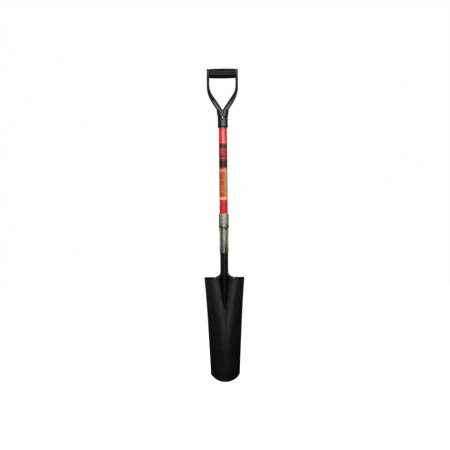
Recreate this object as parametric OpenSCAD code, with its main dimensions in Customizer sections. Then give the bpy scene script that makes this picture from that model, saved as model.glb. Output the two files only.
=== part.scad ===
// Drain spade with a D-grip: a long, narrow, dished digging blade on a short fibreglass shaft.
// Millimetres. +Z runs up the shaft, X runs across the blade, and the hollow of the blade faces -Y.
// Levels are measured up from the tip of the blade. The origin is the point under the cross grip,
// on the shaft's axis, where the spade hangs on a peg.

/* [Blade] */
// Length of the blade from its tip to the top of its treads
blade_len = 406.4; // [380:1:430]
// Half of the width that the straight sides would have at the tip
tip_half_w = 54.1; // [50:0.5:58]
// How much half of the width grows per millimetre of height
side_slope = 0.0476; // [0.03:0.002:0.06]
// Extra half width at the treads, where the sides flare
side_flare = 3.7; // [0:0.1:6]
// Radius of the rounded cutting edge
edge_r = 64; // [61:0.5:66]
// Radius between the cutting edge and each side
corner_r = 12; // [8:1:16]
// Radius of the hollow across the blade
dish_r = 100; // [92:1:140]
// Thickness of the steel sheet
sheet_t = 2; // [1.6:0.1:2.4]
// Depth of the treads, from the back of the sheet to their front edge
tread_d = 16; // [12:1:20]

/* [Frog and socket] */
// Length of the raised V below the treads
frog_len = 128; // [110:2:160]
// Half width of the raised V at the treads
frog_half_w = 22; // [18:0.5:26]
// Half of the width of sheet that rolls up into the neck
neck_half_w = 35; // [33:0.5:38]
// Outside diameter of the socket above the neck
neck_d = 30.6; // [30.2:0.1:31]
// Outside diameter of the socket under the collar
socket_d = 31.4; // [31.2:0.1:31.6]
// Level of the top end of the socket
socket_top = 590; // [580:1:591]
// Width of the open seam down the back of the neck
seam_w = 3.2; // [2:0.2:6]

/* [Collar] */
// Level of the bottom end of the collar
collar_base = 497.6; // [490:1:505]
// Outside diameter of the collar's straight part
collar_d = 34; // [33.6:0.1:34.4]
// Level of the middle of the collar's rolled bead
bead_level = 601; // [599:0.5:602]
// Outside diameter of the bead
bead_d = 39.8; // [38:0.2:41]
// Outside diameter of the band above the bead
band_d = 38.2; // [36:0.2:39]
// Level of the top end of the band
band_top = 650.5; // [640:1:665]
// Level of the rivet through the collar
collar_rivet_level = 548; // [530:1:555]

/* [Shaft] */
// Outside diameter of the fibreglass shaft
shaft_d = 31.75; // [31.5:0.05:31.8]
// Inside diameter of the fibreglass shaft
shaft_bore_d = 25.4; // [25:0.1:26]
// Level of the bottom end of the shaft
shaft_base = 594; // [593:0.5:598]
// Level of the top end of the shaft
shaft_top = 1040; // [1030:1:1041]
// Level of the bottom edge of the lower label
label_base = 704; // [690:1:720]
// Level where the two labels meet
label_joint = 827.4; // [800:1:850]
// Level of the top edge of the upper label
label_top = 921.3; // [900:1:950]

/* [D-grip] */
// Level of the bottom end of the grip's socket
yoke_base = 982.7; // [975:1:990]
// Outside diameter of the grip's socket
yoke_d = 39.2; // [38.6:0.2:40]
// Width over the two arms
grip_w = 120.6; // [116:0.2:124]
// Clear width between the two arms
hand_w = 100.8; // [98:0.2:104]
// Level of the axis of the cross grip
grip_level = 1192; // [1185:1:1200]
// Diameter of the cross grip at its middle
grip_mid_d = 39; // [36:0.5:39]
// Diameter of the cross grip at its ends
grip_end_d = 36.4; // [34:0.2:37]
// Radius of the crotch between the arms
crotch_r = 9; // [6:0.5:11]
// Level of the rivet through the grip's socket
yoke_rivet_level = 1021; // [1015:1:1026]

/* [Hidden] */
$fn = 96;

eps = 0.01;
fit = 0.075;                      // gap all round a bore that a neighbour slides into
end_gap = 0.2;
hang_level = grip_level - grip_mid_d / 2;

// Blade
half_sheet = sheet_t / 2;
bend_r = 4;                       // middle of the sheet, where the treads turn forward
bend_level = blade_len - bend_r - half_sheet;
flare_level = 200;
tread_relief = 0.6;               // nick between a tread and the neck
tread_round = 0.86;               // share of the half width where a tread's corner starts to round off
floor_y = 6.5;                    // middle of the sheet at the dish's floor, at the treads
tip_y = -1;                       // and at the tip
floor_level = 260;                // where the floor has come back to floor_y
wing_floor_x = 36;                // where each wing is lowest, at the treads
wing_base = 120;                  // where one floor divides into two, either side of the frog
wing_delay = 1.4;                 // over 1, the two part slowly at first
floor_round = 0.2;                // how softly a wing's floor turns up, as a share of wing_floor_x
socket_r = socket_d / 2 - half_sheet;
neck_r = neck_d / 2 - half_sheet;
roll_h = 34;                      // height over which the neck rolls up into a tube
roll_fade = 2.5;                  // over 1, it rolls up fast at first
neck_top = blade_len + roll_h;
frog_base = blade_len - frog_len;
frog_rise = floor_y - dish(0, bend_level) + neck_r;
frog_spread = 0.7;                // under 1, the frog widens fast at its foot
frog_swell = 1.1;                 // over 1, it rises slowly there
neck_split = neck_half_w / half_width(bend_level);
step_s = 0.002;                   // small steps across and along the sheet, to find its slopes
step_z = 0.1;

wing_cols = 8;
neck_cols = 24;
last_col = 2 * wing_cols + neck_cols;
left_slit = wing_cols;
right_slit = wing_cols + neck_cols;
dish_rows = 30;

rivet_r = 2.4;
rivet_hole_r = 2.5;
washer_t = 1.2;
hole_half_h = 2.8;                // half height of the punched hole in the socket
seam_at_rivet = 6;                // the seam opens out to let the rivet through
seam_level = collar_rivet_level - 12;

// Collar and shaft
collar_bore_r = socket_d / 2 + 0.1;
shaft_hole_r = shaft_d / 2 + fit;
collar_step = socket_top + 2;
bead_half_h = 7;
collar_top = bead_level + bead_half_h + 1;
band_base = collar_top + end_gap;
plug_base = 445;
plug_neck_top = 500;
plug_r = 13.4;
plug_tip_r = 12.5;
core_r = shaft_bore_d / 2 - 0.05;
plug_top = 700;
upper_plug_base = 960;
label_t = 0.15;
label_gap_deg = 24;

// D-grip
arm_out_x = grip_w / 2;
arm_in_x = hand_w / 2;
out_r = 111;                      // outer curve of each arm
out_deg = 32.5;
out_level = grip_level - 50;
in_r = 70;                        // inner curve of each arm
in_deg = 34;
in_level = grip_level - 44;
yoke_r = yoke_d / 2;
ear_r = 18;
yoke_top = grip_level + ear_r;
top_round = 3;
lip_h = 3;                        // thicker lip round the mouth of the socket
yoke_half_y = yoke_r + 0.5;       // half depth of the yoke, front to back, from the lip to the crotch
waist_half_y = 15;                // and at the slimmest place along the arms
waist_base = grip_level - 110;    // the arms slim down between these levels
waist_level = grip_level - 46;
bell_base = 1014;                 // the socket widens between these levels to meet the arms
bell_top = 1054;
bell_rise = 4.4;                  // and its radius grows by this much
arm_foot = 1040;                  // the arms' outline starts under the crotch, and slants up and out
arm_foot_x = 12;
arm_foot_rise = 6;
arm_shoulder = 1055;
rod_r = 4;
rod_hole_r = 4.1;
rod_head_r = 7.2;
rod_head_t = 1.6;
rod_washer_r = 8;
rod_washer_t = 1.2;
rod_recess = 3.4;
rod_recess_r = 8.6;

// Shapes shared by several parts

module from_tip() {
    translate([0, 0, -hang_level])
        children();
}

function arc(cx, cz, r, from, to, steps) = [
    for (k = [0:steps])
        let (a = from + (to - from) * k / steps)
            [cx + r * cos(a), cz + r * sin(a)]
];

function mirrored(points) = [for (k = [len(points) - 1:-1:0]) [-points[k][0], points[k][1]]];

function clamp01(v) = min(1, max(0, v));

function blend(a, b, t) = a + (b - a) * t;

// Blade: one pressed sheet. The dish, the two treads and the rolled neck and socket are patches
// of points on the middle of the sheet, moved half a thickness each way.

function half_width(z) =
    tip_half_w + side_slope * z
    + side_flare * pow(max(0, z - flare_level) / (blade_len - flare_level), 2);

// Level of the cutting edge at x, with a rounded corner where it meets the side.
corner_x = half_width(edge_r / 2) - corner_r + 0.3;
corner_level = edge_r - sqrt(pow(edge_r - corner_r, 2) - pow(corner_x, 2));
corner_start = corner_x * edge_r / (edge_r - corner_r);

function edge_level(x) =
    let (a = abs(x))
        a < corner_start
            ? edge_r - sqrt(edge_r * edge_r - a * a)
            : corner_level - sqrt(max(0, corner_r * corner_r - pow(a - corner_x, 2)));

function edge_of_column(s) =
    edge_level(s * half_width(edge_level(s * half_width(edge_level(s * tip_half_w)))));

function floor_line(z) = blend(tip_y, floor_y, sin(90 * clamp01(z / floor_level)));

// Each wing's floor moves out from the middle of the blade as the frog rises between them.
function wing_floor(z) =
    wing_floor_x * pow(clamp01((z - wing_base) / (bend_level - wing_base)), wing_delay);

function dish(x, z) =
    let (w = wing_floor(z), u = sqrt(x * x + pow(floor_round * w, 2)) - w)
        dish_r - sqrt(dish_r * dish_r - u * u);

function frog(x, z) =
    let (p = clamp01((z - frog_base) / frog_len), half = frog_half_w * pow(p, frog_spread) + eps)
        abs(x) > half ? 0 : frog_rise * pow(p, frog_swell) * (1 + cos(180 * x / half)) / 2;

function dish_point(s, z) =
    let (x = s * half_width(z))
        [x, floor_line(z) - dish(x, z) - frog(x, z), z];

// The neck: the frog's section rolls up into a round tube with a seam at the back.
function tube_r(z) = blend(neck_r, socket_r, clamp01((z - neck_top) / (collar_base - neck_top)));

function seam(z) =
    blend(seam_w, seam_at_rivet, clamp01((z - collar_base) / (seam_level - collar_base)));

function roll(z) = 1 - pow(1 - clamp01((z - blade_len) / roll_h), roll_fade);

function neck_point(s, z) =
    let (
        open = dish_point(s, min(z, bend_level)),
        r = tube_r(z),
        a = s / neck_split * (180 - asin(seam(z) / 2 / r)),
        t = roll(z)
    )
        [blend(open[0], r * sin(a), t), blend(open[1], -r * cos(a), t), z];

function unit(v) = v / norm(v);

function dish_normal(s, z) =
    unit(cross(
        dish_point(s + step_s, z) - dish_point(s - step_s, z),
        dish_point(s, z + step_z) - dish_point(s, z - step_z)
    ));

function neck_normal(s, z) =
    unit(cross(
        neck_point(s + step_s, z) - neck_point(s - step_s, z),
        neck_point(s, z + step_z) - neck_point(s, z - step_z)
    ));

// Fractions of the half width where the columns of points lie: close together at the edges.
function column(i) =
    i < left_slit
        ? -blend(neck_split, 1, sin(90 * (left_slit - i) / wing_cols))
        : i > right_slit
            ? blend(neck_split, 1, sin(90 * (i - right_slit) / wing_cols))
            : neck_split * (i - last_col / 2) / (neck_cols / 2);

function dish_level(i, j) =
    let (edge = edge_of_column(column(i)))
        blend(edge, bend_level, j / dish_rows);

// Levels of the rows of points in the neck and socket, above the bend line.
neck_levels = concat(
    [blade_len],
    [for (k = [1:8]) blade_len + roll_h * pow(k / 8, 1.3)],
    [for (k = [1:3]) blend(neck_top, collar_base, k / 3)],
    [seam_level],
    [collar_rivet_level - hole_half_h, collar_rivet_level + hole_half_h, socket_top]
);
neck_rows = len(neck_levels);
hole_row = neck_rows - 2;

// Steps round the bend of a tread, and then along its flat top to the front edge.
bend_steps = 5;
tread_rows = bend_steps + 2;

function tread_front(s) =
    tread_d * sqrt(1 - 0.8 * pow(clamp01((abs(s) - tread_round) / (1 - tread_round)), 2));

function tread_column(i) =
    let (s = column(i), away = 1 - neck_split, nick = tread_relief / half_width(blade_len))
        sign(s) * (1 - (1 - abs(s)) * (away - nick) / away);

function tread_frame(i, j) =
    let (
        s = tread_column(i),
        a = 90 * min(1, j / bend_steps),
        flat = (tread_front(s) - bend_r - half_sheet) * max(0, j - bend_steps) / 2,
        across = dish_point(s + step_s, bend_level) - dish_point(s - step_s, bend_level),
        along = [0, -sin(a), cos(a)],
        turn = [0, -bend_r * (1 - cos(a)) - flat, bend_r * sin(a)]
    )
        [dish_point(s, bend_level) + turn, unit(cross(across, along))];

module blade_sheet() {
    dish_frames = [
        for (j = [0:dish_rows], i = [0:last_col])
            let (s = column(i), z = dish_level(i, j))
                [dish_point(s, z), dish_normal(s, z)]
    ];
    neck_frames = [
        for (z = neck_levels, i = [left_slit:right_slit])
            [neck_point(column(i), z), neck_normal(column(i), z)]
    ];
    left_frames = [for (j = [1:tread_rows], i = [0:left_slit]) tread_frame(i, j)];
    right_frames = [for (j = [1:tread_rows], i = [right_slit:last_col]) tread_frame(i, j)];
    frames = concat(dish_frames, neck_frames, left_frames, right_frames);

    cols = last_col + 1;
    neck_start = (dish_rows + 1) * cols;
    left_start = neck_start + neck_rows * (neck_cols + 1);
    right_start = left_start + tread_rows * (wing_cols + 1);
    back = len(frames);
    bend_row = dish_rows * cols;

    function in_dish(i, j) = j * cols + i;
    function in_neck(i, j) =
        j == 0 ? bend_row + i : neck_start + (j - 1) * (neck_cols + 1) + i - left_slit;
    function in_left(i, j) =
        j == 0 ? bend_row + i : left_start + (j - 1) * (wing_cols + 1) + i;
    function in_right(i, j) =
        j == 0 ? bend_row + i : right_start + (j - 1) * (wing_cols + 1) + i - right_slit;

    function quad(a, b, c, d) = [
        [a, b, c], [a, c, d],
        [back + a, back + c, back + b], [back + a, back + d, back + c]
    ];
    function rim(loop) = [
        for (k = [0:len(loop) - 1])
            let (a = loop[k], b = loop[(k + 1) % len(loop)])
                each [[a, b, back + b], [a, back + b, back + a]]
    ];

    mid = last_col / 2;
    quads = concat(
        [for (j = [0:dish_rows - 1], i = [0:last_col - 1])
            quad(in_dish(i, j), in_dish(i, j + 1), in_dish(i + 1, j + 1), in_dish(i + 1, j))],
        [for (j = [0:neck_rows - 1], i = [left_slit:right_slit - 1])
            if (!(j == hole_row && (i == mid - 1 || i == mid)))
                quad(in_neck(i, j), in_neck(i, j + 1), in_neck(i + 1, j + 1), in_neck(i + 1, j))],
        [for (j = [0:tread_rows - 1], i = [0:left_slit - 1])
            quad(in_left(i, j), in_left(i, j + 1), in_left(i + 1, j + 1), in_left(i + 1, j))],
        [for (j = [0:tread_rows - 1], i = [right_slit:last_col - 1])
            quad(in_right(i, j), in_right(i, j + 1), in_right(i + 1, j + 1), in_right(i + 1, j))]
    );
    outline = concat(
        [for (i = [0:last_col]) in_dish(i, 0)],
        [for (j = [1:dish_rows]) in_dish(last_col, j)],
        [for (j = [1:tread_rows]) in_right(last_col, j)],
        [for (i = [last_col - 1:-1:right_slit]) in_right(i, tread_rows)],
        [for (j = [tread_rows - 1:-1:0]) in_right(right_slit, j)],
        [for (j = [1:neck_rows]) in_neck(right_slit, j)],
        [for (i = [right_slit - 1:-1:left_slit]) in_neck(i, neck_rows)],
        [for (j = [neck_rows - 1:-1:0]) in_neck(left_slit, j)],
        [for (j = [1:tread_rows]) in_left(left_slit, j)],
        [for (i = [left_slit - 1:-1:0]) in_left(i, tread_rows)],
        [for (j = [tread_rows - 1:-1:0]) in_left(0, j)],
        [for (j = [dish_rows - 1:-1:1]) in_dish(0, j)]
    );
    rivet_hole = [
        in_neck(mid - 1, hole_row), in_neck(mid - 1, hole_row + 1), in_neck(mid, hole_row + 1),
        in_neck(mid + 1, hole_row + 1), in_neck(mid + 1, hole_row), in_neck(mid, hole_row)
    ];

    polyhedron(
        points = concat(
            [for (f = frames) f[0] + half_sheet * f[1]],
            [for (f = frames) f[0] - half_sheet * f[1]]
        ),
        faces = concat(
            [for (q = quads) each q],
            rim(outline),
            rim(rivet_hole)
        )
    );
}

module blade() {
    color([0.07, 0.07, 0.07])
        from_tip()
            blade_sheet();
}

// Rivets run from front to back. Their heads sit on the round outside of what they hold.

module rivet(level, seat_r, washer_t) {
    head_r = 4.6;
    head_h = 2.6;
    peen_r = 3.8;
    peen_h = 1.6;
    translate([0, 0, level])
        rotate([90, 0, 0]) {
            difference() {
                translate([0, 0, seat_r - 1])
                    button(head_r, head_h + 1);
                rotate([90, 0, 0])
                    cylinder(h = 4 * head_r, r = seat_r + eps, center = true);
            }
            translate([0, 0, -seat_r - washer_t])
                cylinder(h = 2 * seat_r + washer_t + 0.5, r = rivet_r);
            mirror([0, 0, 1])
                difference() {
                    translate([0, 0, seat_r + washer_t - 0.5])
                        button(peen_r, peen_h + 0.5);
                    rotate([90, 0, 0])
                        cylinder(h = 4 * head_r, r = seat_r + washer_t + eps, center = true);
                }
        }
}

module button(r, h) {
    dome_h = 0.75 * h;
    dome_r = (r * r + dome_h * dome_h) / (2 * dome_h);
    intersection() {
        cylinder(h = h, r = r);
        translate([0, 0, h - dome_r])
            sphere(r = dome_r);
    }
}

module rivet_washer(level, seat_r, washer_t) {
    washer_r = 5.6;
    translate([0, 0, level])
        intersection() {
            difference() {
                cylinder(h = 3 * washer_r, r = seat_r + washer_t, center = true);
                cylinder(h = 4 * washer_r, r = seat_r + eps, center = true);
                rotate([-90, 0, 0])
                    cylinder(h = 2 * seat_r, r = rivet_hole_r);
            }
            rotate([-90, 0, 0])
                cylinder(h = 2 * seat_r, r = washer_r);
        }
}

module cross_hole(level, r) {
    translate([0, 0, level])
        rotate([90, 0, 0])
            cylinder(h = 100, r = r, center = true);
}

// Collar: a tapered steel tube with a rolled bead at its top, over the socket and the shaft's end.
module collar() {
    flare_base = 545;
    flare_r = 18;
    bead_r = (pow(bead_half_h, 2) + pow(bead_d / 2 - flare_r, 2)) / (2 * (bead_d / 2 - flare_r));
    bead_deg = asin(bead_half_h / bead_r);
    color([0.38, 0.36, 0.32])
        from_tip()
            difference() {
                rotate_extrude()
                    polygon(concat(
                        [
                            [collar_bore_r, collar_base],
                            [collar_d / 2 - 0.3, collar_base],
                            [collar_d / 2, collar_base + 0.6],
                            [collar_d / 2, flare_base]
                        ],
                        arc(bead_d / 2 - bead_r, bead_level, bead_r, -bead_deg, bead_deg, 14),
                        [
                            [flare_r, collar_top],
                            [shaft_hole_r, collar_top],
                            [shaft_hole_r, collar_step],
                            [collar_bore_r, collar_step]
                        ]
                    ));
                cross_hole(collar_rivet_level, rivet_hole_r);
            }
}

module collar_band() {
    edge = 0.9;
    color([0.66, 0.67, 0.62])
        from_tip()
            rotate_extrude()
                polygon([
                    [shaft_hole_r, band_base],
                    [band_d / 2 - edge, band_base],
                    [band_d / 2, band_base + edge],
                    [band_d / 2, band_top - edge],
                    [band_d / 2 - edge, band_top],
                    [shaft_hole_r, band_top]
                ]);
}

module collar_rivet() {
    color([0.55, 0.5, 0.44])
        from_tip()
            rivet(collar_rivet_level, collar_d / 2, washer_t);
}

module collar_rivet_washer() {
    color([0.6, 0.6, 0.58])
        from_tip()
            rivet_washer(collar_rivet_level, collar_d / 2, washer_t);
}

// Inside the joint: a stepped hardwood plug that fills the socket and the shaft's lower end.
module lower_plug() {
    color([0.78, 0.62, 0.42])
        from_tip()
            difference() {
                union() {
                    translate([0, 0, plug_base])
                        cylinder(h = plug_neck_top - plug_base, r1 = plug_tip_r, r2 = plug_r);
                    translate([0, 0, plug_neck_top])
                        cylinder(h = shaft_base - plug_neck_top, r = plug_r);
                    translate([0, 0, plug_neck_top])
                        cylinder(h = plug_top - plug_neck_top, r = core_r);
                }
                cross_hole(collar_rivet_level, rivet_hole_r);
            }
}

module shaft_tube() {
    color([0.82, 0.12, 0.1])
        from_tip()
            difference() {
                translate([0, 0, shaft_base])
                    cylinder(h = shaft_top - shaft_base, d = shaft_d);
                translate([0, 0, shaft_base - 1])
                    cylinder(h = shaft_top - shaft_base + 2, d = shaft_bore_d);
                cross_hole(yoke_rivet_level, rivet_hole_r);
            }
}

module shaft_core() {
    color([0.9, 0.85, 0.68])
        from_tip()
            translate([0, 0, plug_top])
                cylinder(h = upper_plug_base - plug_top, r = core_r);
}

module upper_plug() {
    color([0.78, 0.62, 0.42])
        from_tip()
            difference() {
                translate([0, 0, upper_plug_base])
                    cylinder(h = shaft_top - upper_plug_base, r = core_r);
                cross_hole(yoke_rivet_level, rivet_hole_r);
            }
}

// Labels: printed film round the shaft, with a gap at the back.
module label(base, top) {
    rotate([0, 0, 90 + label_gap_deg / 2])
        rotate_extrude(angle = 360 - label_gap_deg)
            translate([shaft_d / 2, base])
                square([label_t, top - base]);
}

module lower_label() {
    color([0.85, 0.45, 0.2])
        from_tip()
            label(label_base, label_joint);
}

module upper_label() {
    color([0.35, 0.08, 0.06])
        from_tip()
            label(label_joint, label_top);
}

// D-grip: a moulded yoke that fits over the shaft and carries the cross grip between its arms.

// Where the straight line below an arc reaches a level.
function arc_foot(cx, cz, r, deg, level) =
    let (z = cz - r * sin(deg))
        [cx + r * cos(deg) - (z - level) * tan(deg), level];

// Crotch: the circle that both inner edges touch.
crotch_level =
    let (on_axis = arc_foot(arm_in_x - in_r, in_level, in_r, in_deg, 0))
        (crotch_r - on_axis[0] * cos(in_deg)) / sin(in_deg);
crotch_foot = crotch_level - crotch_r * sin(in_deg);

module hand_hole() {
    right = concat(
        arc(0, crotch_level, crotch_r, -90, -in_deg, 8),
        [arc_foot(arm_in_x - in_r, in_level, in_r, in_deg, crotch_foot)],
        arc(arm_in_x - in_r, in_level, in_r, -in_deg, 0, 14),
        [[arm_in_x, yoke_top + 1]]
    );
    rotate([90, 0, 0])
        linear_extrude(height = 100, center = true)
            polygon(concat(right, mirrored(right)));
}

// The two arms from the front, in one outline with the part of the yoke under the crotch.
module arms() {
    right = concat(
        [[0, arm_foot], [arm_foot_x, arm_foot + arm_foot_rise]],
        [arc_foot(arm_out_x - out_r, out_level, out_r, out_deg, arm_shoulder)],
        arc(arm_out_x - out_r, out_level, out_r, -out_deg, 0, 14),
        arc(arm_out_x - top_round, yoke_top - top_round, top_round, 0, 90, 6)
    );
    rotate([90, 0, 0])
        linear_extrude(height = 100, center = true)
            polygon(concat(right, mirrored(right)));
}

// The yoke from the side: straight at the socket, waisted along the arms and round at the ears.
module yoke_side() {
    steps = 10;
    front = concat(
        [[yoke_half_y, yoke_base - 1]],
        [for (k = [0:steps])
            [
                blend(yoke_half_y, waist_half_y, (1 - cos(180 * k / steps)) / 2),
                blend(waist_base, waist_level, k / steps)
            ]],
        [[waist_half_y, grip_level - sqrt(ear_r * ear_r - waist_half_y * waist_half_y)]]
    );
    rotate([90, 0, 90])
        linear_extrude(height = 2 * grip_w, center = true) {
            translate([0, grip_level])
                circle(r = ear_r);
            polygon(concat(front, mirrored(front)));
        }
}

module yoke_socket() {
    steps = 10;
    rotate_extrude()
        polygon(concat(
            [
                [0, yoke_base],
                [yoke_half_y - 0.3, yoke_base],
                [yoke_half_y, yoke_base + 0.5],
                [yoke_half_y, yoke_base + lip_h],
                [yoke_r, yoke_base + 2 * lip_h]
            ],
            [for (k = [0:steps])
                [
                    yoke_r + bell_rise * (1 - cos(180 * k / steps)) / 2,
                    blend(bell_base, bell_top, k / steps)
                ]],
            [[0, bell_top]]
        ));
}

// A groove down the front and the back of the yoke, from the crotch, divides one arm from the other.
module arm_grooves() {
    groove_foot = 1026;
    foot_half_w = 0.8;
    top_half_w = 5;
    groove_d = 2.6;
    rotate([90, 0, 0])
        for (face = [-1, 1])
            translate([0, 0, face * yoke_half_y])
                linear_extrude(height = 2 * groove_d, center = true)
                    polygon([
                        [-foot_half_w, groove_foot],
                        [foot_half_w, groove_foot],
                        [top_half_w, crotch_level],
                        [-top_half_w, crotch_level]
                    ]);
}

module rod_holes() {
    translate([0, 0, grip_level])
        rotate([0, 90, 0]) {
            cylinder(h = 2 * grip_w, r = rod_hole_r, center = true);
            for (side = [0, 1])
                mirror([0, 0, side])
                    translate([0, 0, arm_out_x - rod_recess])
                        cylinder(h = 2 * rod_recess, r = rod_recess_r);
        }
}

module grip_yoke() {
    color([0.12, 0.12, 0.12])
        from_tip()
            difference() {
                intersection() {
                    union() {
                        yoke_socket();
                        arms();
                    }
                    yoke_side();
                }
                hand_hole();
                arm_grooves();
                rod_holes();
                cross_hole(yoke_rivet_level, rivet_hole_r);
                translate([0, 0, yoke_base - 1])
                    cylinder(h = shaft_top + end_gap - yoke_base + 1, r = shaft_hole_r);
            }
}

module yoke_rivet() {
    color([0.62, 0.61, 0.6])
        from_tip()
            rivet(yoke_rivet_level, yoke_r, washer_t);
}

module yoke_rivet_washer() {
    color([0.62, 0.61, 0.6])
        from_tip()
            rivet_washer(yoke_rivet_level, yoke_r, washer_t);
}

module along_grip() {
    from_tip()
        translate([0, 0, grip_level])
            rotate([0, 90, 0])
                children();
}

module cross_grip() {
    half_len = arm_in_x - 0.15;
    end_round = 1.5;
    swell = (grip_mid_d - grip_end_d) / 2;
    barrel_r = (half_len * half_len + swell * swell) / (2 * swell);
    barrel_deg = asin((half_len - end_round) / barrel_r);
    color([0.06, 0.07, 0.06])
        along_grip()
            rotate_extrude()
                polygon(concat(
                    [
                        [rod_hole_r, -half_len],
                        [grip_end_d / 2 - end_round, -half_len]
                    ],
                    arc(grip_mid_d / 2 - barrel_r, 0, barrel_r, -barrel_deg, barrel_deg, 20),
                    [
                        [grip_end_d / 2 - end_round, half_len],
                        [rod_hole_r, half_len]
                    ]
                ));
}

module grip_rod() {
    seat = arm_out_x - rod_recess + rod_washer_t;
    color([0.6, 0.6, 0.6])
        along_grip() {
            cylinder(h = 2 * seat + 1, r = rod_r, center = true);
            for (side = [0, 1])
                mirror([0, 0, side])
                    translate([0, 0, seat])
                        button(rod_head_r, rod_head_t);
        }
}

module grip_rod_washers() {
    color([0.66, 0.66, 0.66])
        along_grip()
            for (side = [0, 1])
                mirror([0, 0, side])
                    translate([0, 0, arm_out_x - rod_recess])
                        difference() {
                            cylinder(h = rod_washer_t, r = rod_washer_r);
                            translate([0, 0, -1])
                                cylinder(h = rod_washer_t + 2, r = rod_hole_r);
                        }
}

blade();
collar();
collar_band();
collar_rivet();
collar_rivet_washer();
lower_plug();
shaft_tube();
shaft_core();
upper_plug();
lower_label();
upper_label();
grip_yoke();
yoke_rivet();
yoke_rivet_washer();
cross_grip();
grip_rod();
grip_rod_washers();
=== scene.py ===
"""A drain spade with a D-grip: its looks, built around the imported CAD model.

Lengths inside the shape functions are millimetres, and levels are measured up from the tip of the
blade, as on a drawing of the spade. place() turns such a point into the frame's metres.
The front of the spade, the hollow side of its blade, faces -Y.
"""

import math

import bmesh
import bpy
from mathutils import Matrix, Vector


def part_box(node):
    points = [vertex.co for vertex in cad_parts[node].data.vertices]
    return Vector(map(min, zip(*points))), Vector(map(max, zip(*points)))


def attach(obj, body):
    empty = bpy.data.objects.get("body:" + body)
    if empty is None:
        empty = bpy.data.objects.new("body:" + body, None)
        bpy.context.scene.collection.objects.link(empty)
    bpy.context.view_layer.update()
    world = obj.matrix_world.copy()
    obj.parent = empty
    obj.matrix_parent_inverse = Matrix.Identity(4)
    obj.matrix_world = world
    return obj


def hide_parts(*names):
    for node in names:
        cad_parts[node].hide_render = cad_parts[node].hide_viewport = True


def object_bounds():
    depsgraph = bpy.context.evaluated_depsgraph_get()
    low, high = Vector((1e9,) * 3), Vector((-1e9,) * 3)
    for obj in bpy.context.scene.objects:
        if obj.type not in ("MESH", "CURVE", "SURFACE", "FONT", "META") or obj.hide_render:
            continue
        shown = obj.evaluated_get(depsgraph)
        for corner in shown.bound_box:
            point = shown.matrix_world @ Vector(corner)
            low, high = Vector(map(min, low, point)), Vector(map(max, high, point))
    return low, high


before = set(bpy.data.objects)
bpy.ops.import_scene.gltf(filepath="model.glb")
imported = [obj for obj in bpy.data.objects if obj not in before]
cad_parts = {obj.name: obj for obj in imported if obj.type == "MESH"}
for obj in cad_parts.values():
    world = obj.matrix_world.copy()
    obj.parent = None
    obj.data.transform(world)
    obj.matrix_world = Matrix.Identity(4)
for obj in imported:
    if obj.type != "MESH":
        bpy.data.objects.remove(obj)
cad_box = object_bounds()

MM = 0.001
BODY = "root"
HANG_LEVEL = 1172.5  # where the frame's origin is, under the middle of the cross grip
SHAFT_HOLE_R = 15.95
ROD_HOLE_R = 4.1


def size_of(node):
    """A CAD node's size along X, Y and Z, in millimetres."""
    low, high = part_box(node)
    return (high - low) / MM


def levels_of(node):
    """A CAD node's lowest and highest level above the blade's tip, in millimetres."""
    low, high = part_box(node)
    return HANG_LEVEL + low.z / MM, HANG_LEVEL + high.z / MM


def place(point):
    return Vector((point[0], point[1], point[2] - HANG_LEVEL)) * MM


def blend(a, b, t):
    return a + (b - a) * t


def clamp(v, low=0.0, high=1.0):
    return min(high, max(low, v))


# Camera and lights ---------------------------------------------------------------------------


def add_camera():
    """A long lens square to the front of the spade, rolled a little, as the spade leans in its view."""
    distance = 9.0
    sensor = 36.0
    view_height = 1.7383
    right, up = 0.0044, 0.0012
    roll = math.radians(0.61)
    low, high = cad_box
    middle_z = (low[2] + high[2]) / 2
    data = bpy.data.cameras.new("camera")
    data.sensor_width = sensor
    data.lens = sensor * distance / view_height
    data.clip_end = 100
    camera = bpy.data.objects.new("camera", data)
    camera.location = (right, -distance, middle_z + up)
    camera.rotation_euler = (math.radians(90), roll, 0)
    bpy.context.scene.collection.objects.link(camera)
    bpy.context.scene.camera = camera


def add_area_light(name, position, target, width, height, radiance):
    data = bpy.data.lights.new(name, "AREA")
    data.shape = "RECTANGLE"
    data.size = width
    data.size_y = height
    data.energy = radiance * math.pi * width * height
    light = bpy.data.objects.new(name, data)
    light.location = position
    aim = Vector(target) - Vector(position)
    light.rotation_euler = aim.to_track_quat("-Z", "Y").to_euler()
    light.visible_camera = False
    bpy.context.scene.collection.objects.link(light)


def add_lights():
    """The last number is a light's radiance, where 1 is the white of the background."""
    add_area_light("key_left", (-0.5, -1.0, -0.18), (-0.5, 0, -0.18), 1.0, 0.22, 3.4)
    add_area_light("key_right", (0.85, -1.0, -0.18), (0.85, 0, -0.18), 1.7, 0.22, 7.2)
    add_area_light("key_core", (-0.1, -1.1, -0.18), (-0.1, 0, -0.18), 0.22, 0.22, 11.0)
    add_area_light("collar_panel", (0.12, -1.4, -0.59), (0.12, 0, -0.59), 0.72, 0.3, 1.0)
    add_area_light("blade_strip", (-0.035, -0.5, -0.875), (-0.035, 0, -0.875), 0.13, 0.25, 1.1)
    add_area_light("high_softbox", (0, -3.0, 2.9), (0, 0, -0.5), 4.4, 3.0, 4.6)
    add_area_light("back_panel", (0, 3.0, 0.2), (0, 0, -0.5), 4.0, 3.5, 0.5)
    add_area_light("left_strip", (-2.6, 0.9, 0), (0, 0, -0.5), 1.0, 2.4, 0.8)
    add_area_light("right_strip", (2.6, 0.9, 0), (0, 0, -0.5), 1.0, 2.4, 0.8)


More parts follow.
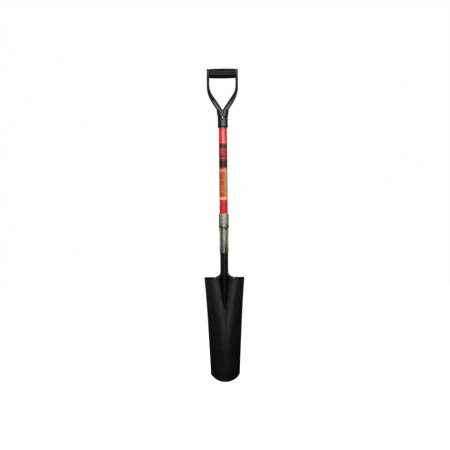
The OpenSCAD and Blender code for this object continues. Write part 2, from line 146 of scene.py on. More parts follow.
def set_world():
    """White behind the object, and a dimmer studio for what the object reflects."""
    world = bpy.data.worlds.new("studio")
    world.use_nodes = True
    tree = world.node_tree
    seen = tree.nodes["Background"]
    seen.inputs["Color"].default_value = (1, 1, 1, 1)
    seen.inputs["Strength"].default_value = 1.0
    room = tree.nodes.new("ShaderNodeBackground")
    room.inputs["Color"].default_value = (0.93, 0.96, 1, 1)
    room.inputs["Strength"].default_value = 0.045
    rays = tree.nodes.new("ShaderNodeLightPath")
    choice = tree.nodes.new("ShaderNodeMixShader")
    for_other_rays, for_camera_rays = 1, 2
    tree.links.new(rays.outputs["Is Camera Ray"], choice.inputs["Fac"])
    tree.links.new(room.outputs["Background"], choice.inputs[for_other_rays])
    tree.links.new(seen.outputs["Background"], choice.inputs[for_camera_rays])
    tree.links.new(choice.outputs["Shader"], tree.nodes["World Output"].inputs["Surface"])
    bpy.context.scene.world = world
    bpy.context.scene.view_settings.view_transform = "Standard"


def add_floor():
    """A pale round floor just under the tip of the blade."""
    radius = 14.0
    gap = 0.0005
    mesh = bpy.data.meshes.new("floor")
    form = bmesh.new()
    bmesh.ops.create_circle(form, cap_ends=True, segments=96, radius=radius)
    form.to_mesh(mesh)
    form.free()
    floor = bpy.data.objects.new("floor", mesh)
    floor.location.z = cad_box[0][2] - gap
    bpy.context.scene.collection.objects.link(floor)
    shader = Shader("pale_floor")
    grain = shader.noise(3, detail=2)
    shader.set("Base Color", shader.ramp(grain, [(0.0, (0.9, 0.9, 0.9)), (1.0, (0.93, 0.93, 0.93))]))
    shader.set("Roughness", 0.9)
    shader.set("Specular IOR Level", 0.0)
    shader.set("Emission Color", (1, 1, 1, 1))
    shader.set("Emission Strength", 1.0)
    mesh.materials.append(shader.material)
    floor.visible_glossy = False
    floor.visible_diffuse = False


# Materials -----------------------------------------------------------------------------------


class Shader:
    """One procedural material. Its methods add a node, join it up and return its output."""

    def __init__(self, name):
        self.material = bpy.data.materials.new(name)
        self.material.use_nodes = True
        self.tree = self.material.node_tree
        self.surface = self.tree.nodes["Principled BSDF"]
        self.place = self.add("ShaderNodeTexCoord").outputs["Object"]

    def add(self, kind):
        return self.tree.nodes.new(kind)

    def feed(self, socket, value):
        if isinstance(value, bpy.types.NodeSocket):
            self.tree.links.new(value, socket)
        else:
            socket.default_value = value

    def set(self, name, value):
        self.feed(self.surface.inputs[name], value)

    def stretched(self, stretch):
        mapping = self.add("ShaderNodeMapping")
        mapping.inputs["Scale"].default_value = stretch
        self.feed(mapping.inputs["Vector"], self.place)
        return mapping.outputs["Vector"]

    def noise(self, scale, detail=4, stretch=(1, 1, 1), roughness=0.5):
        noise = self.add("ShaderNodeTexNoise")
        self.feed(noise.inputs["Vector"], self.stretched(stretch))
        noise.inputs["Scale"].default_value = scale
        noise.inputs["Detail"].default_value = detail
        noise.inputs["Roughness"].default_value = roughness
        return noise.outputs["Fac"]

    def cells(self, scale, stretch=(1, 1, 1)):
        cells = self.add("ShaderNodeTexVoronoi")
        self.feed(cells.inputs["Vector"], self.stretched(stretch))
        cells.inputs["Scale"].default_value = scale
        return cells.outputs["Distance"]

    def ramp(self, value, stops):
        ramp = self.add("ShaderNodeValToRGB")
        points = ramp.color_ramp.elements
        while len(points) < len(stops):
            points.new(0.5)
        for point, (where, colour) in zip(points, stops):
            point.position = where
            point.color = (*colour, 1)
        self.feed(ramp.inputs["Fac"], value)
        return ramp.outputs["Color"]

    def spread(self, value, low, high, span=(0.3, 0.7)):
        """value, from span, spread over low to high."""
        spread = self.add("ShaderNodeMapRange")
        self.feed(spread.inputs["Value"], value)
        spread.inputs["From Min"].default_value = span[0]
        spread.inputs["From Max"].default_value = span[1]
        spread.inputs["To Min"].default_value = low
        spread.inputs["To Max"].default_value = high
        return spread.outputs["Result"]

    def maths(self, operation, a, b=0.0):
        node = self.add("ShaderNodeMath")
        node.operation = operation
        self.feed(node.inputs[0], a)
        self.feed(node.inputs[1], b)
        return node.outputs["Value"]

    def mix(self, factor, a, b, mode="MIX"):
        colour_a, colour_b, colour_out = 6, 7, 2
        mix = self.add("ShaderNodeMix")
        mix.data_type = "RGBA"
        mix.blend_type = mode
        self.feed(mix.inputs["Factor"], factor)
        self.feed(mix.inputs[colour_a], a)
        self.feed(mix.inputs[colour_b], b)
        return mix.outputs[colour_out]

    def axes(self):
        parts = self.add("ShaderNodeSeparateXYZ")
        self.feed(parts.inputs["Vector"], self.place)
        return parts.outputs["X"], parts.outputs["Y"], parts.outputs["Z"]

    def within(self, value, low, high):
        """1 where value lies between low and high, and 0 elsewhere."""
        above = self.maths("GREATER_THAN", value, low)
        below = self.maths("LESS_THAN", value, high)
        return self.maths("MULTIPLY", above, below)

    def bump(self, layers):
        """Layers of (height, distance in metres), each laid over the one before."""
        normal = None
        for height, distance in layers:
            bump = self.add("ShaderNodeBump")
            bump.inputs["Strength"].default_value = 1.0
            bump.inputs["Distance"].default_value = distance
            self.feed(bump.inputs["Height"], height)
            if normal is not None:
                self.feed(bump.inputs["Normal"], normal)
            normal = bump.outputs["Normal"]
        self.set("Normal", normal)


def black_enamel():
    """Sprayed enamel on pressed steel, over faint draw lines, with orange peel and a little dust."""
    shader = Shader("black_enamel")
    cloud = shader.noise(14, detail=6)
    draw = shader.noise(160, detail=3, stretch=(1, 1, 0.03))
    peel = shader.noise(650, detail=2)
    speck = shader.noise(1900, detail=2)
    tone = shader.ramp(cloud, [(0.3, (0.0018, 0.0018, 0.0014)), (0.7, (0.0038, 0.0037, 0.0031))])
    dust = shader.spread(speck, 0.0, 0.25, (0.66, 0.8))
    dust_colour = (0.018, 0.017, 0.015, 1)
    shader.set("Base Color", shader.mix(dust, tone, dust_colour))
    shader.set("Roughness", shader.spread(shader.noise(45, detail=5), 0.24, 0.3))
    shader.set("Specular IOR Level", 0.4)
    shader.bump([(draw, 0.000015), (peel, 0.000003)])
    return shader.material


def drawn_steel(name, dark, light, roughness, scale, ring=None):
    """Bare or plated steel with fine lines along its length and a mottled tone. A ring, given as its
    middle and half height in the row's metres, is painted dark and dull: painted shade that dims the key
    lights' reflection there."""
    shader = Shader(name)
    lines = shader.noise(scale, detail=3, stretch=(1, 1, 0.01))
    cloud = shader.noise(38, detail=5)
    tone = shader.ramp(cloud, [(0.3, dark), (0.7, light)])
    shade = shader.ramp(lines, [(0.3, (0.8, 0.8, 0.8)), (0.7, (1, 1, 1))])
    colour = shader.mix(1.0, tone, shade, "MULTIPLY")
    dullness = shader.spread(lines, roughness - 0.04, roughness + 0.06)
    # Painted shade: the ring's steel is darkened and dulled where the key lights would otherwise reflect
    # brightly.
    if ring:
        middle, half_h = ring
        fade = (0.8 * half_h, 1.3 * half_h)
        painted_shade_colour, painted_shade_roughness = (0.17, 0.16, 0.14, 1), 0.4
        away = shader.maths("ABSOLUTE", shader.maths("SUBTRACT", shader.axes()[2], middle))
        share = shader.spread(away, 1.0, 0.0, fade)
        colour = shader.mix(share, colour, painted_shade_colour)
        dullness = shader.maths("MAXIMUM", dullness, shader.maths("MULTIPLY", share, painted_shade_roughness))
    shader.set("Base Color", colour)
    shader.set("Metallic", 1.0)
    shader.set("Roughness", dullness)
    shader.bump([(lines, 0.000001)])
    return shader.material


def zinc_plate():
    """Plated steel with a faint greenish passivation and soft spangle."""
    shader = Shader("zinc_plate")
    spangle = shader.cells(420)
    cloud = shader.noise(60, detail=4)
    tone = shader.ramp(cloud, [(0.3, (0.37, 0.392, 0.342)), (0.7, (0.43, 0.453, 0.398))])
    shade = shader.ramp(spangle, [(0.0, (0.86, 0.86, 0.86)), (0.8, (1, 1, 1))])
    shader.set("Base Color", shader.mix(1.0, tone, shade, "MULTIPLY"))
    shader.set("Metallic", 1.0)
    shader.set("Roughness", shader.spread(spangle, 0.54, 0.64, (0.0, 0.8)))
    shader.bump([(spangle, 0.000008)])
    return shader.material


def red_fibreglass():
    """Pultruded rod: long glass fibres showing faintly through a glossy red resin."""
    shader = Shader("red_fibreglass")
    fibres = shader.noise(520, detail=4, stretch=(1, 1, 0.012), roughness=0.65)
    bands = shader.noise(90, detail=2, stretch=(1, 1, 0.05))
    cloud = shader.noise(9, detail=3)
    tone = shader.ramp(fibres, [(0.25, (0.5, 0.008, 0.01)), (0.75, (0.74, 0.014, 0.017))])
    depth = shader.ramp(bands, [(0.3, (0.9, 0.86, 0.86)), (0.7, (1, 1, 1))])
    shader.set("Base Color", shader.mix(1.0, tone, depth, "MULTIPLY"))
    shader.set("Roughness", shader.spread(cloud, 0.26, 0.32))
    shader.set("Specular IOR Level", 0.8)
    shader.bump([(fibres, 0.00001)])
    return shader.material


def moulded_plastic(name, dark, light, roughness, grain_depth, specular=0.5):
    """Injection-moulded plastic with spark-eroded grain and faint flow marks."""
    shader = Shader(name)
    flow = shader.noise(26, detail=4, stretch=(1, 1, 0.4))
    grain = shader.noise(1500, detail=3, roughness=0.6)
    shader.set("Base Color", shader.ramp(flow, [(0.3, dark), (0.7, light)]))
    shader.set("Roughness", shader.spread(shader.noise(70, detail=4), roughness - 0.04, roughness + 0.07))
    shader.set("Specular IOR Level", specular)
    shader.bump([(flow, 0.00003), (grain, grain_depth)])
    return shader.material


def hardwood():
    """Raw turned hardwood with long grain."""
    shader = Shader("hardwood")
    grain = shader.noise(240, detail=6, stretch=(1, 1, 0.06), roughness=0.7)
    shader.set("Base Color", shader.ramp(grain, [(0.3, (0.3, 0.17, 0.07)), (0.7, (0.55, 0.36, 0.18))]))
    shader.set("Roughness", shader.spread(grain, 0.6, 0.8))
    shader.bump([(grain, 0.0001)])
    return shader.material


def rigid_foam():
    """Closed-cell foam."""
    shader = Shader("rigid_foam")
    cells = shader.cells(900)
    shader.set("Base Color", shader.ramp(cells, [(0.0, (0.6, 0.5, 0.28)), (0.7, (0.8, 0.72, 0.5))]))
    shader.set("Roughness", 0.9)
    shader.bump([(cells, 0.0003)])
    return shader.material


class LabelShader(Shader):
    """Printed film round the shaft. A patch is painted by its place round the shaft, in degrees from
    the front towards +X, and by its share of the label's height from the bottom edge."""

    def __init__(self, name, node, ground):
        super().__init__(name)
        low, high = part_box(node)
        x, y, z = self.axes()
        turn = self.maths("ARCTAN2", x, self.maths("MULTIPLY", y, -1.0))
        self.turn = self.maths("MULTIPLY", turn, 180 / math.pi)
        self.height = self.spread(z, 0.0, 1.0, (low.z, high.z))
        self.colour = (*ground, 1)

    def patch(self, turns, heights, colour):
        across = self.within(self.turn, *turns)
        along = self.within(self.height, *heights)
        self.colour = self.mix(self.maths("MULTIPLY", across, along), self.colour, (*colour, 1))

    def finish(self):
        ink = self.noise(420, detail=4)
        fade = self.ramp(ink, [(0.3, (0.86, 0.86, 0.86)), (0.7, (1, 1, 1))])
        self.set("Base Color", self.mix(1.0, self.colour, fade, "MULTIPLY"))
        self.set("Roughness", self.spread(self.noise(60, detail=4), 0.34, 0.46))
        self.set("Specular IOR Level", 0.28)
        self.bump([(self.noise(55, detail=3), 0.0001), (ink, 0.00001)])
        return self.material


def upper_label_print():
    all_round, front, line_h = (-180, 180), (-62, 62), 0.022
    dark = (0.034, 0.0025, 0.001)
    maroon = (0.1, 0.008, 0.005)
    deep_rose = (0.23, 0.014, 0.015)
    rose = (0.36, 0.02, 0.026)
    salmon = (0.46, 0.1, 0.075)
    shader = LabelShader("upper_label_print", "upper_label", maroon)
    shader.patch(front, (0.34, 0.53), deep_rose)
    shader.patch(front, (0.53, 0.8), rose)
    shader.patch(all_round, (0.04, 0.27), dark)
    for low in (0.38, 0.74):
        shader.patch(all_round, (low, low + line_h), salmon)
    return shader.finish()


def lower_label_print():
    all_round, seam_deg, seam_w, line_h = (-180, 180), 17, 4, 0.018
    orange = (0.46, 0.068, 0.016)
    tan = (0.52, 0.25, 0.08)
    straw = (0.62, 0.34, 0.12)
    apricot = (0.66, 0.2, 0.1)
    light_orange = (0.6, 0.2, 0.09)
    peach = (0.92, 0.4, 0.22)
    shader = LabelShader("lower_label_print", "lower_label", orange)
    shader.patch((seam_deg, 180), (0.0, 1.0), tan)
    shader.patch((seam_deg, seam_deg + seam_w), (0.08, 1.0), straw)
    shader.patch((-70, seam_deg), (0.87, 0.95), apricot)
    for low in (0.62, 0.41, 0.33, 0.25):
        shader.patch((-58, 8), (low, low + line_h), light_orange)
    shader.patch(all_round, (0.0, 0.085), peach)
    return shader.finish()


# Meshes --------------------------------------------------------------------------------------


def add_piece(name, points, faces, material, slot, nodes, sharp_deg=40):
    """A mesh piece in the row's frame, riding on the body and standing for CAD nodes."""
    mesh = bpy.data.meshes.new(name)
    mesh.from_pydata(points, [], faces)
    mesh.validate()
    mesh.update()
    mesh.shade_smooth()
    mesh.set_sharp_from_angle(angle=math.radians(sharp_deg))
    mesh.materials.append(material)
    piece = bpy.data.objects.new(name, mesh)
    bpy.context.scene.collection.objects.link(piece)
    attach(piece, BODY)
    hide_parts(*nodes)
    return piece


def arc(cx, cz, r, start, end, steps):
    turns = (math.radians(blend(start, end, k / steps)) for k in range(steps + 1))
    return [(cx + r * math.cos(a), cz + r * math.sin(a)) for a in turns]


def rounded(profile, radius, steps=5):
    """A closed profile with each of its corners rounded off, where there is room."""
    room, nearly_straight = 0.45, math.radians(165)
    out = []
    for k, here in enumerate(profile):
        here, before, after = (Vector(p) for p in (here, profile[k - 1], profile[(k + 1) % len(profile)]))
        back, on = before - here, after - here
        turn = back.angle(on)
        reach = min(radius / math.tan(turn / 2), back.length * room, on.length * room)
        if turn > nearly_straight:
            out.append(tuple(here))
            continue
        a, b = here + back.normalized() * reach, here + on.normalized() * reach
        for s in range(steps + 1):
            t = s / steps
            out.append(tuple((1 - t) ** 2 * a + 2 * t * (1 - t) * here + t * t * b))
    return out


def lathe(profile, steps=144, along="z", centre=0.0):
    """Points and faces of a closed (radius, length) profile turned round Z, or round X at a level."""
    points, faces = [], []
    count = len(profile)
    for k in range(steps):
        a = 2 * math.pi * k / steps
        for r, length in profile:
            if along == "z":
                points.append(place((r * math.cos(a), r * math.sin(a), length)))
            else:
                points.append(place((length, r * math.cos(a), centre + r * math.sin(a))))
    for k in range(steps):
        for i in range(count):
            j = (i + 1) % count
            here, there = k * count, (k + 1) % steps * count
            faces.append((here + i, there + i, there + j, here + j))
    if along == "x":
        faces = [face[::-1] for face in faces]
    return points, faces


# Blade ---------------------------------------------------------------------------------------

BLADE_LEN = 406.4
TIP_HALF_W = 54.1
SIDE_SLOPE = 0.0476
SIDE_FLARE = 3.7
FLARE_LEVEL = 200.0
EDGE_R = 64.0
CORNER_R = 12.0
CORNER_OUT = 0.3
DISH_R = 100.0
SHEET_T = 2.0
TREAD_D = 16.0
TREAD_RELIEF = 0.6
TREAD_ROUND = 0.86
TREAD_END_D = 0.2
BEND_R = 4.0
BEND_LEVEL = BLADE_LEN - BEND_R - SHEET_T / 2
FLOOR_Y = 6.5
TIP_Y = -1.0
FLOOR_LEVEL = 260.0
WING_FLOOR_X = 36.0
WING_BASE = 120.0
WING_DELAY = 1.4
FLOOR_ROUND = 0.2
FROG_LEN = 128.0
FROG_HALF_W = 22.0
FROG_SPREAD = 0.7
FROG_SWELL = 1.1
NECK_HALF_W = 35.0
NECK_R = 14.3
SOCKET_R = 14.7
ROLL_H = 34.0
ROLL_FADE = 2.5
SEAM_W = 3.2
SEAM_AT_RIVET = 6.0
SEAM_OPENING = 38.0
COLLAR_BASE, COLLAR_TOP = levels_of("collar")
SOCKET_TOP = levels_of("blade")[1]


def half_width(z):
    flare = max(0.0, z - FLARE_LEVEL) / (BLADE_LEN - FLARE_LEVEL)
    return TIP_HALF_W + SIDE_SLOPE * z + SIDE_FLARE * flare ** 2


def edge_level(x):
    """Level of the cutting edge at x, with a rounded corner where it meets the side."""
    corner_x = half_width(EDGE_R / 2) - CORNER_R + CORNER_OUT
    corner_level = EDGE_R - math.sqrt((EDGE_R - CORNER_R) ** 2 - corner_x ** 2)
    corner_start = corner_x * EDGE_R / (EDGE_R - CORNER_R)
    if abs(x) < corner_start:
        return EDGE_R - math.sqrt(EDGE_R ** 2 - x ** 2)
    return corner_level - math.sqrt(max(0.0, CORNER_R ** 2 - (abs(x) - corner_x) ** 2))


def edge_of_column(s):
    """Where a column of the sheet meets the cutting edge, in a few rounds, as its x hangs on the level."""
    level = 0.0
    for _ in range(3):
        level = edge_level(s * half_width(level))
    return level


def floor_line(z):
    return blend(TIP_Y, FLOOR_Y, math.sin(math.pi / 2 * clamp(z / FLOOR_LEVEL)))


def dish(x, z):
    """Each wing's floor moves out from the middle of the blade as the frog rises between them."""
    floor_x = WING_FLOOR_X * clamp((z - WING_BASE) / (BEND_LEVEL - WING_BASE)) ** WING_DELAY
    reach = math.hypot(x, FLOOR_ROUND * floor_x) - floor_x
    return DISH_R - math.sqrt(DISH_R ** 2 - reach ** 2)


def frog(x, z):
    """How far the raised V stands forward of the dish."""
    least_half_w = 0.01
    rise = clamp((z - BLADE_LEN + FROG_LEN) / FROG_LEN)
    half = FROG_HALF_W * rise ** FROG_SPREAD + least_half_w
    if abs(x) > half:
        return 0.0
    crown = FLOOR_Y - dish(0, BEND_LEVEL) + NECK_R
    return crown * rise ** FROG_SWELL * (1 + math.cos(math.pi * x / half)) / 2


def dish_point(s, z):
    x = s * half_width(z)
    return Vector((x, floor_line(z) - dish(x, z) - frog(x, z), z))


NECK_SPLIT = NECK_HALF_W / half_width(BEND_LEVEL)


def neck_point(s, z):
    """The sheet rolls up into a round tube with a seam at the back."""
    opened = dish_point(s, min(z, BEND_LEVEL))
    r = blend(NECK_R, SOCKET_R, clamp((z - BLADE_LEN - ROLL_H) / (COLLAR_BASE - BLADE_LEN - ROLL_H)))
    seam = blend(SEAM_W, SEAM_AT_RIVET, clamp((z - COLLAR_BASE) / SEAM_OPENING))
    a = s / NECK_SPLIT * (math.pi - math.asin(seam / 2 / r))
    roll = 1 - (1 - clamp((z - BLADE_LEN) / ROLL_H)) ** ROLL_FADE
    return Vector((blend(opened.x, r * math.sin(a), roll), blend(opened.y, -r * math.cos(a), roll), z))


STEP_S = 0.002
STEP_Z = 0.1


def frame_at(surface, s, z):
    """A point on the middle of the sheet, and the way its front faces."""
    across = surface(s + STEP_S, z) - surface(s - STEP_S, z)
    along = surface(s, z + STEP_Z) - surface(s, z - STEP_Z)
    return surface(s, z), across.cross(along).normalized()


def tread_front(s):
    """Depth of a tread at s. Its outer corner is rounded off, down to a share of the full depth."""
    return TREAD_D * math.sqrt(1 - (1 - TREAD_END_D) * clamp((abs(s) - TREAD_ROUND) / (1 - TREAD_ROUND)) ** 2)


def tread_frame(s, j, bend_steps, flat_steps):
    """As frame_at, on a tread: round its bend and then along its flat top."""
    away, nick = 1 - NECK_SPLIT, TREAD_RELIEF / half_width(BLADE_LEN)
    s = math.copysign(1 - (1 - abs(s)) * (away - nick) / away, s)
    a = math.pi / 2 * min(1.0, j / bend_steps)
    flat = (tread_front(s) - BEND_R - SHEET_T / 2) * max(0, j - bend_steps) / flat_steps
    across = dish_point(s + STEP_S, BEND_LEVEL) - dish_point(s - STEP_S, BEND_LEVEL)
    along = Vector((0, -math.sin(a), math.cos(a)))
    turn = Vector((0, -BEND_R * (1 - math.cos(a)) - flat, BEND_R * math.sin(a)))
    return dish_point(s, BEND_LEVEL) + turn, across.cross(along).normalized()


class Sheet:
    """A sheet of steel built from patches of (middle point, facing) frames, joined along shared rows."""

    def __init__(self, thickness):
        self.half = thickness / 2
        self.frames = []
        self.quads = []

    def row(self, frames):
        start = len(self.frames)
        self.frames += frames
        return list(range(start, len(self.frames)))

    def join(self, lower, upper):
        for k in range(len(lower) - 1):
            self.quads.append((lower[k], lower[k + 1], upper[k + 1], upper[k]))

    def mesh(self):
        """Front and back skins, and a wall along every open edge."""
        back = len(self.frames)
        points = [place(p + self.half * n) for p, n in self.frames]
        points += [place(p - self.half * n) for p, n in self.frames]
        faces = list(self.quads) + [tuple(back + i for i in quad[::-1]) for quad in self.quads]
        edges = {(quad[k], quad[(k + 1) % 4]) for quad in self.quads for k in range(4)}
        faces += [(b, a, back + a, back + b) for a, b in sorted(edges) if (b, a) not in edges]
        return points, faces


def blade_sheet():
    wing_cols, neck_cols, dish_rows = 22, 72, 120
    bend_steps, flat_steps = 8, 6
    roll_rows, roll_crowding, socket_rows = 24, 1.3, 16
    wing = [blend(NECK_SPLIT, 1, math.sin(math.pi / 2 * k / wing_cols)) for k in range(wing_cols, 0, -1)]
    middle = [NECK_SPLIT * (2 * k / neck_cols - 1) for k in range(neck_cols + 1)]
    columns = [-s for s in wing] + middle + wing[::-1]
    edges = [edge_of_column(s) for s in columns]
    sheet = Sheet(SHEET_T)

    rows = []
    for j in range(dish_rows + 1):
        levels = [blend(edge, BEND_LEVEL, j / dish_rows) for edge in edges]
        rows.append(sheet.row([frame_at(dish_point, s, z) for s, z in zip(columns, levels)]))
    for lower, upper in zip(rows, rows[1:]):
        sheet.join(lower, upper)

    top = rows[-1]
    neck = top[wing_cols:wing_cols + neck_cols + 1]
    levels = [BLADE_LEN + ROLL_H * (k / roll_rows) ** roll_crowding for k in range(roll_rows + 1)]
    levels += [blend(BLADE_LEN + ROLL_H, SOCKET_TOP, k / socket_rows) for k in range(1, socket_rows + 1)]
    for z in levels:
        row = sheet.row([frame_at(neck_point, s, z) for s in middle])
        sheet.join(neck, row)
        neck = row

    for tread, side in ((top[:wing_cols + 1], columns[:wing_cols + 1]),
                        (top[wing_cols + neck_cols:], columns[wing_cols + neck_cols:])):
        for j in range(1, bend_steps + flat_steps + 1):
            row = sheet.row([tread_frame(s, j, bend_steps, flat_steps) for s in side])
            sheet.join(tread, row)
            tread = row
    return sheet.mesh()


def add_blade():
    sharp_deg, edge_round = 50, 0.45
    blade = add_piece("blade_sheet", *blade_sheet(), black_enamel(), "blade_enamel", ["blade"], sharp_deg)
    soften = blade.modifiers.new("rolled edges", "BEVEL")
    soften.width = edge_round * MM
    soften.segments = 2
    soften.limit_method = "ANGLE"
    soften.angle_limit = math.radians(sharp_deg)
    soften.harden_normals = True


# Collar and shaft ----------------------------------------------------------------------------


def add_collar():
    """A tapered steel tube with a rolled bead."""
    bore_r, step, edge_w, edge_h = 15.8, SOCKET_TOP + 2, 0.35, 0.5
    straight_r, flare_base, flare_r, flare_steps = 17.0, 545.0, 18.0, 8
    bead_level, bead_half_h, bead_top_r = 601.0, 7.0, size_of("collar").x / 2
    rise = bead_top_r - flare_r
    bead_r = (bead_half_h ** 2 + rise ** 2) / (2 * rise)
    bead_deg = math.degrees(math.asin(bead_half_h / bead_r))
    profile = [(bore_r, COLLAR_BASE), (straight_r - edge_w, COLLAR_BASE), (straight_r, COLLAR_BASE + edge_h)]
    for k in range(flare_steps):
        t = k / flare_steps
        profile.append((blend(straight_r, flare_r, t ** 2), blend(flare_base, bead_level - bead_half_h, t)))
    profile += arc(bead_top_r - bead_r, bead_level, bead_r, -bead_deg, bead_deg, 18)
    profile += [(flare_r, COLLAR_TOP), (SHAFT_HOLE_R, COLLAR_TOP), (SHAFT_HOLE_R, step), (bore_r, step)]
    # The ring sits over the bead's upper half, where the key lights reflect; its painted shade dims that
    # reflection.
    ring_up, ring_half_h = 0.62 * bead_half_h, 0.6 * bead_half_h
    ring = (place((0, 0, bead_level + ring_up)).z, ring_half_h * MM)
    steel = drawn_steel("collar_steel", (0.66, 0.615, 0.53), (0.76, 0.71, 0.615), 0.3, 300, ring)
    add_piece("tapered_collar", *lathe(profile), steel, "collar_steel", ["collar"], sharp_deg=35)


def add_band():
    base, top = levels_of("collar_band")
    outer, edge_round = size_of("collar_band").x / 2, 1.0
    ring = [(SHAFT_HOLE_R, base), (outer, base), (outer, top), (SHAFT_HOLE_R, top)]
    profile = rounded(ring, edge_round)
    add_piece("plated_band", *lathe(profile), zinc_plate(), "band_zinc", ["collar_band"])


def add_shaft():
    base, top = levels_of("shaft_tube")
    outer, inner, edge_round = size_of("shaft_tube").x / 2, 12.7, 0.4
    profile = rounded([(inner, base), (outer, base), (outer, top), (inner, top)], edge_round)
    add_piece("fibreglass_tube", *lathe(profile), red_fibreglass(), "red_fibreglass", ["shaft_tube"])


def add_label(node, material, slot):
    """Printed film wrapped round the shaft, with a gap at the back."""
    base, top = levels_of(node)
    inner, film, gap_deg, steps = 15.875, 0.15, 24, 120
    start = 90 + gap_deg / 2
    points, faces = [], []
    for k in range(steps + 1):
        a = math.radians(start + (360 - gap_deg) * k / steps)
        for r, z in ((inner, base), (inner + film, base), (inner + film, top), (inner, top)):
            points.append(place((r * math.cos(a), r * math.sin(a), z)))
    for k in range(steps):
        for i in range(4):
            j = (i + 1) % 4
            faces.append((4 * k + i, 4 * k + 4 + i, 4 * k + 4 + j, 4 * k + j))
    faces += [(0, 1, 2, 3), tuple(4 * steps + i for i in (3, 2, 1, 0))]
    add_piece(f"printed_{node}", points, faces, material, slot, [node])


# D-grip --------------------------------------------------------------------------------------


GRIP_LEVEL = 1192.0
ARM_OUT_X = size_of("grip_yoke").x / 2
ARM_OUT_R, ARM_OUT_DEG, ARM_OUT_LEVEL = 111.0, 32.5, GRIP_LEVEL - 50
ARM_IN_X = 50.4
ARM_IN_R, ARM_IN_DEG, ARM_IN_LEVEL = 70.0, 34.0, GRIP_LEVEL - 44
EAR_R = 18.0
SHAFT_TOP = 1040.0
YOKE_BASE = levels_of("grip_yoke")[0]
YOKE_R = 19.6
YOKE_HALF_Y = size_of("grip_yoke").y / 2
WAIST_HALF_Y = 15.0
WAIST_BASE, WAIST_LEVEL = 1082.0, 1146.0
BELL_BASE, BELL_TOP, BELL_RISE = 1014.0, 1054.0, 4.4
RIB_H = 1.0
CROTCH_LEVEL = 1060.0


def limb_x(straight_x, arc_level, r, deg, level):
    """An arm's edge at a level: a slanting line, then an arc of radius r, then straight up."""
    a = math.radians(deg)
    foot = arc_level - r * math.sin(a)
    if level > arc_level:
        return straight_x
    if level > foot:
        return straight_x - r + math.sqrt(r ** 2 - (arc_level - level) ** 2)
    return straight_x - r + r * math.cos(a) - (foot - level) * math.tan(a)


def along_stops(stops, level):
    """A smooth line through (level, value) stops."""
    if level <= stops[0][0]:
        return stops[0][1]
    for (z0, v0), (z1, v1) in zip(stops, stops[1:]):
        if level <= z1:
            t = (level - z0) / (z1 - z0)
            return blend(v0, v1, t * t * (3 - 2 * t))
    return stops[-1][1]


def bar_section(a, b, r, steps=6):
    """A rectangle with half sizes a and b and corners of radius r."""
    for cx, cy, start in ((a - r, b - r, 0), (r - a, b - r, 90), (r - a, r - b, 180), (a - r, r - b, 270)):
        yield from arc(cx, cy, r, start, start + 90, steps)


def skin(rows):
    """Points and faces of a closed body through rows of points. All rows are of one length."""
    count = len(rows[0])
    points = [place(point) for row in rows for point in row]
    faces = []
    for j in range(len(rows) - 1):
        for k in range(count):
            m = (k + 1) % count
            faces.append((j * count + k, j * count + m, (j + 1) * count + m, (j + 1) * count + k))
    last = (len(rows) - 1) * count
    faces.append(tuple(range(count))[::-1])
    faces.append(tuple(last + k for k in range(count)))
    return points, faces


def arm(side):
    """A rounded bar that starts as a rib on the socket's front and back, and swings out and up to an ear."""
    foot_level, top_level, steps, corner_share = 1016.0, 1184.0, 96, 0.6
    rib_level, foot_sunk = 1030.0, 1.2
    rib_out = [(1034, 8.5), (1047, 13.5), (1056, 26.5)]
    rib_in = [(1022, 0.0), (1050, 1.6), (CROTCH_LEVEL, 5.5)]
    half_depths = [(foot_level, YOKE_R - foot_sunk), (rib_level, YOKE_HALF_Y),
                   (WAIST_BASE, YOKE_HALF_Y), (WAIST_LEVEL, WAIST_HALF_Y)]
    rows = []
    for k in range(steps + 1):
        level = blend(foot_level, top_level, k / steps)
        outer = limb_x(ARM_OUT_X, ARM_OUT_LEVEL, ARM_OUT_R, ARM_OUT_DEG, level)
        if level < rib_out[-1][0]:
            outer = along_stops(rib_out, level)
        inner = limb_x(ARM_IN_X, ARM_IN_LEVEL, ARM_IN_R, ARM_IN_DEG, level)
        if level < CROTCH_LEVEL:
            inner = along_stops(rib_in, level)
        middle, half = side * (outer + inner) / 2, (outer - inner) / 2
        depth = along_stops(half_depths, level)
        rows.append([(middle + x, y, level) for x, y in bar_section(half, depth, corner_share * half)])
    return skin(rows)


def ear(side):
    """The disc at the top of an arm, bored and recessed for the rod through the cross grip."""
    recess, recess_r, round_r, turn_steps = 3.4, 8.6, 2.4, 96
    near, far = ARM_IN_X, ARM_OUT_X
    profile = rounded([(ROD_HOLE_R, near), (EAR_R, near), (EAR_R, far), (recess_r, far),
                       (recess_r, far - recess), (ROD_HOLE_R, far - recess)], round_r)
    points, faces = lathe([(r, side * x) for r, x in profile], turn_steps, "x", GRIP_LEVEL)
    return points, faces if side > 0 else [face[::-1] for face in faces]


def yoke_socket():
    """The round body that fits over the shaft. It widens to meet the arms, and is closed between them."""
    lip_h, chamfer, bell_steps, turn_steps = 3.0, 0.6, 12, 120
    axis_r, hole_top = 0.01, SHAFT_TOP + 0.2
    profile = [
        (SHAFT_HOLE_R, YOKE_BASE), (YOKE_HALF_Y - chamfer, YOKE_BASE), (YOKE_HALF_Y, YOKE_BASE + chamfer),
        (YOKE_HALF_Y, YOKE_BASE + lip_h), (YOKE_R, YOKE_BASE + 2 * lip_h),
    ]
    for k in range(bell_steps + 1):
        t = k / bell_steps
        profile.append((YOKE_R + BELL_RISE * (1 - math.cos(math.pi * t)) / 2, blend(BELL_BASE, BELL_TOP, t)))
    profile += [(axis_r, BELL_TOP), (axis_r, hole_top), (SHAFT_HOLE_R, hole_top)]
    points, faces = lathe(profile, turn_steps)
    for point in points:
        if point.z > place((0, 0, BELL_BASE)).z:
            point.y = clamp(point.y / MM, RIB_H - YOKE_HALF_Y, YOKE_HALF_Y - RIB_H) * MM
    return points, faces


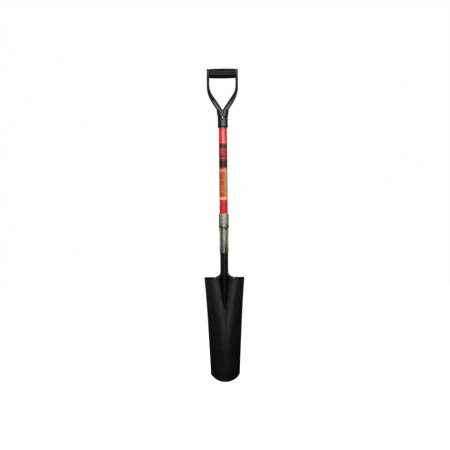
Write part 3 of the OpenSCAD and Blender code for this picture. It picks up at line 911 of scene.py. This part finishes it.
def add_yoke():
    """The moulded yoke: socket, arms and ears joined into one skin with softly rounded corners."""
    voxel = 0.8
    points, faces = [], []
    for body in (yoke_socket(), arm(-1), arm(1), ear(-1), ear(1)):
        faces += [tuple(len(points) + i for i in face) for face in body[1]]
        points += body[0]
    dark, light = (0.004, 0.0039, 0.0034), (0.0075, 0.0073, 0.0066)
    plastic = moulded_plastic("yoke_plastic", dark, light, 0.17, 0.0000025, 0.33)
    yoke = add_piece("moulded_yoke", points, faces, plastic, "yoke_plastic", ["grip_yoke"])
    remesh = yoke.modifiers.new("one skin", "REMESH")
    remesh.mode = "VOXEL"
    remesh.voxel_size = voxel * MM
    remesh.use_smooth_shade = True
    smooth = yoke.modifiers.new("moulded corners", "SMOOTH")
    smooth.factor = 0.5
    smooth.iterations = 6


def add_cross_grip():
    """The barrel between the ears, with rounded ends."""
    barrel_steps, round_steps = 40, 5
    half_len = size_of("cross_grip").x / 2
    middle_r, end_r, round_r = size_of("cross_grip").y / 2, 18.2, 1.6
    swell = middle_r - end_r
    barrel_r = (half_len ** 2 + swell ** 2) / (2 * swell)
    reach = math.degrees(math.asin((half_len - round_r) / barrel_r))
    barrel = arc(middle_r - barrel_r, 0, barrel_r, -reach, reach, barrel_steps)
    end = arc(end_r - round_r, half_len - round_r, round_r, 0, 90, round_steps)[1:]
    profile = [(r, -x) for r, x in end[::-1]] + barrel + end
    profile += [(ROD_HOLE_R, half_len), (ROD_HOLE_R, -half_len)]
    low, high = levels_of("cross_grip")
    turned = lathe(profile, along="x", centre=(low + high) / 2)
    dark, light = (0.003, 0.0045, 0.0036), (0.0055, 0.0075, 0.0062)
    plastic = moulded_plastic("grip_plastic", dark, light, 0.24, 0.000003, 0.1)
    add_piece("barrel_grip", *turned, plastic, "grip_plastic", ["cross_grip"])


def dress_cad_nodes():
    """Small or hidden CAD nodes keep their own mesh and get a procedural material."""
    rivets = drawn_steel("rivet_steel", (0.36, 0.34, 0.31), (0.5, 0.48, 0.44), 0.34, 900)
    rod = drawn_steel("rod_steel", (0.42, 0.42, 0.42), (0.58, 0.58, 0.57), 0.3, 900)
    sharp_deg = 35
    dress = (
        (rivets, ("collar_rivet", "collar_rivet_washer", "yoke_rivet", "yoke_rivet_washer")),
        (rod, ("grip_rod", "grip_rod_washers")),
        (hardwood(), ("lower_plug", "upper_plug")),
        (rigid_foam(), ("shaft_core",)),
    )
    for material, nodes in dress:
        for node in nodes:
            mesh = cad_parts[node].data
            mesh.materials.clear()
            mesh.materials.append(material)
            mesh.shade_smooth()
            mesh.set_sharp_from_angle(angle=math.radians(sharp_deg))


add_camera()
add_lights()
set_world()
add_floor()
add_blade()
add_collar()
add_band()
add_shaft()
add_label("lower_label", lower_label_print(), "lower_label_film")
add_label("upper_label", upper_label_print(), "upper_label_film")
add_yoke()
add_cross_grip()
dress_cad_nodes()
